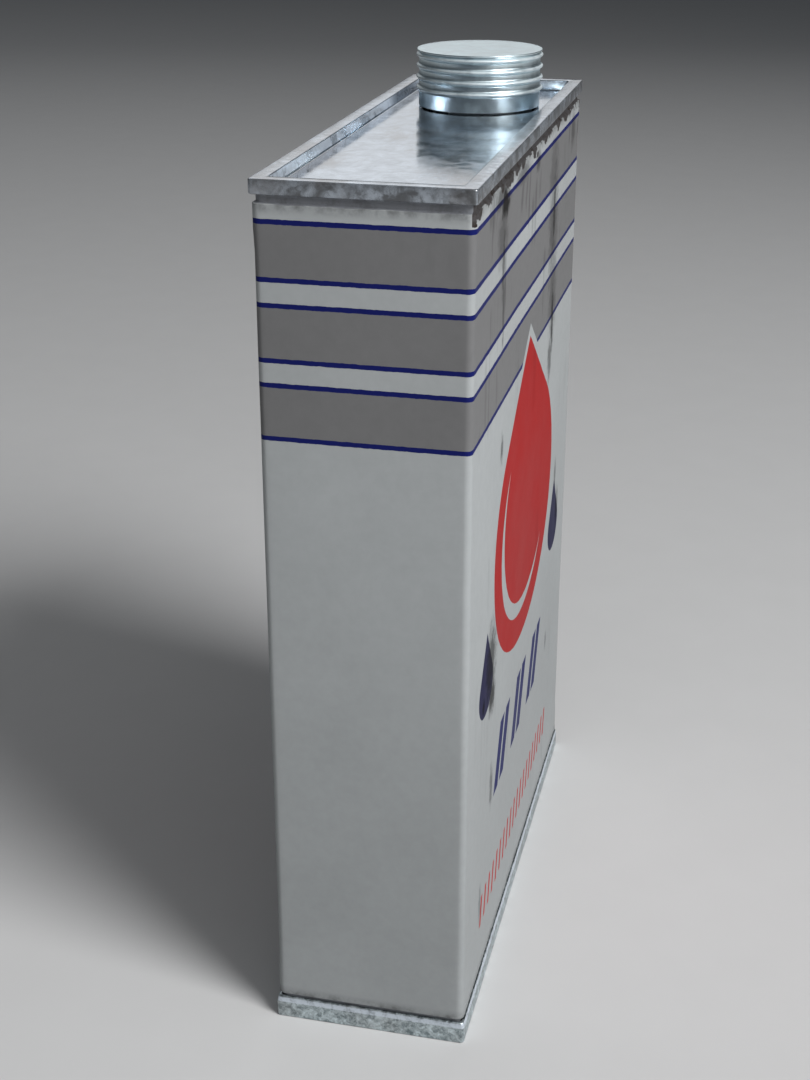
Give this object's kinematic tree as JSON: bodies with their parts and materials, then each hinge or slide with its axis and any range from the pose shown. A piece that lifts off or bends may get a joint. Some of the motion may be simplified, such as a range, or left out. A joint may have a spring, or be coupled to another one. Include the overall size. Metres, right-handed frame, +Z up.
{
  "type": "oil can",
  "caption": "Flat rectangular tinplate oil can with seamed ends, a striped painted body and a ribbed screw cap over an offset pouring neck.",
  "frame": {"origin": "middle of the can's footprint, on the surface that it stands on", "axes": "+Z up, X along the broad faces with the pouring neck at the +X end, Y through the thin depth with the decorated front face at -Y"},
  "size_m": [0.172, 0.055, 0.2546],
  "materials": {
    "painted_body": "semi-gloss litho paint, light grey with darker grey bands and dark blue lines",
    "tinplate": "dull mottled tinplate with faint rust",
    "cap_tinplate": "satin tinplate, bright on the beads",
    "solder": "dull grey solder",
    "seam_compound": "matt dark sealing compound",
    "pulpboard": "waxed pulpboard",
    "foil": "satin foil"
  },
  "bodies": {
    "can": {"body_shell": "painted_body", "side_seam_solder": "solder", "top_end": "tinplate", "bottom_end": "tinplate", "top_seam_compound": "seam_compound", "bottom_seam_compound": "seam_compound", "neck": "tinplate", "neck_solder": "solder"},
    "liner": {"cap_liner": "pulpboard", "liner_foil": "foil"},
    "cap": {"cap_shell": "cap_tinplate", "cap_thread_sleeve": "tinplate"}
  },
  "joints": [
    {"name": "cap_lift", "type": "slide", "parent": "can", "child": "liner", "axis": [0, 0, 1], "range_m": [0, 0.021]},
    {"name": "cap_turn", "type": "hinge", "parent": "liner", "child": "cap", "pos_m": [0.048, -0.0015, 0.238], "axis": [0, 0, 1], "range_deg": [0, 2520]}
  ],
  "couplings": [
    {"joint": "cap_lift", "follows": "cap_turn", "m_per_rad": 0.00047746}
  ]
}
